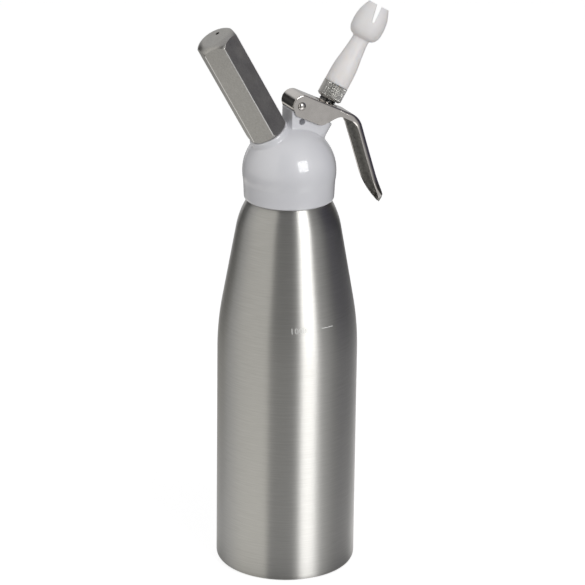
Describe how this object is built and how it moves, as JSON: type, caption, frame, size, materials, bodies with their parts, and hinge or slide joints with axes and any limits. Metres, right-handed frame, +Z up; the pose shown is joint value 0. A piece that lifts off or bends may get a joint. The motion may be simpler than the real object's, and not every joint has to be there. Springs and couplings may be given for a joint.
{
  "type": "whipped cream dispenser",
  "caption": "Upright pressure bottle with a domed screw-on head, a squeeze lever over a sprung valve, a leaning petal nozzle and a screwed hexagonal gas charger holder.",
  "frame": {"origin": "middle of the flat face that the bottle stands on", "axes": "+Z up along the bottle, the lever and the nozzle lean towards +X, the charger holder towards -X"},
  "size_m": [0.1284, 0.09, 0.3695],
  "materials": {
    "bottle_aluminium": "brushed round the bottle",
    "satin_aluminium": "satin, fine grain",
    "white_enamel": "gloss white enamel",
    "white_plastic": "smooth, slightly milky",
    "sleeve_plastic": "plain",
    "seal_rubber": "plain",
    "polished_steel": "polished, faint grain",
    "nickel_plate": "diamond knurl",
    "turned_steel": "turned",
    "nickelled_brass": "turned, nickelled"
  },
  "bodies": {
    "bottle": {"bottle": "bottle_aluminium"},
    "head": {"head_casting": "white_enamel", "head_gasket": "seal_rubber", "valve_bush": "nickelled_brass", "charger_stud": "nickelled_brass", "piercing_pin": "turned_steel", "pin_seal": "seal_rubber", "check_valve": "seal_rubber", "pivot_pin": "polished_steel", "valve_spring": "turned_steel"},
    "valve": {"valve_stem": "turned_steel", "stem_o_ring": "seal_rubber", "piston": "turned_steel", "piston_gasket": "seal_rubber", "piston_nut": "turned_steel"},
    "nozzle": {"nozzle_ring": "nickel_plate", "nozzle_seal": "seal_rubber", "tulip_nozzle": "white_plastic"},
    "lever": {"lever": "polished_steel"},
    "charger_holder": {"charger_holder": "satin_aluminium", "holder_sleeve": "sleeve_plastic", "holder_cushion": "seal_rubber", "gas_charger": "turned_steel"}
  },
  "joints": [
    {"name": "head_lift", "type": "slide", "parent": "bottle", "child": "head", "axis": [0, 0, 1], "range_m": [0, 0.06]},
    {"name": "lever_squeeze", "type": "hinge", "parent": "head", "child": "lever", "pos_m": [0.0039, 0, 0.3089], "axis": [0, 1, 0], "range_deg": [0, 12], "stiffness_Nm_per_rad": 0.72, "springref_deg": -22.92},
    {"name": "valve_travel", "type": "slide", "parent": "head", "child": "valve", "axis": [-0.5165, 0, -0.8563], "range_m": [0, 0.0045], "deforming": ["valve_spring"]},
    {"name": "nozzle_unscrew", "type": "slide", "parent": "valve", "child": "nozzle", "axis": [0.5165, 0, 0.8563], "range_m": [0, 0.03]},
    {"name": "holder_unscrew", "type": "slide", "parent": "head", "child": "charger_holder", "axis": [-0.4924, 0, 0.8704], "range_m": [0, 0.04]}
  ],
  "couplings": [
    {"joint": "valve_travel", "follows": "lever_squeeze", "m_per_rad": 0.0193}
  ]
}
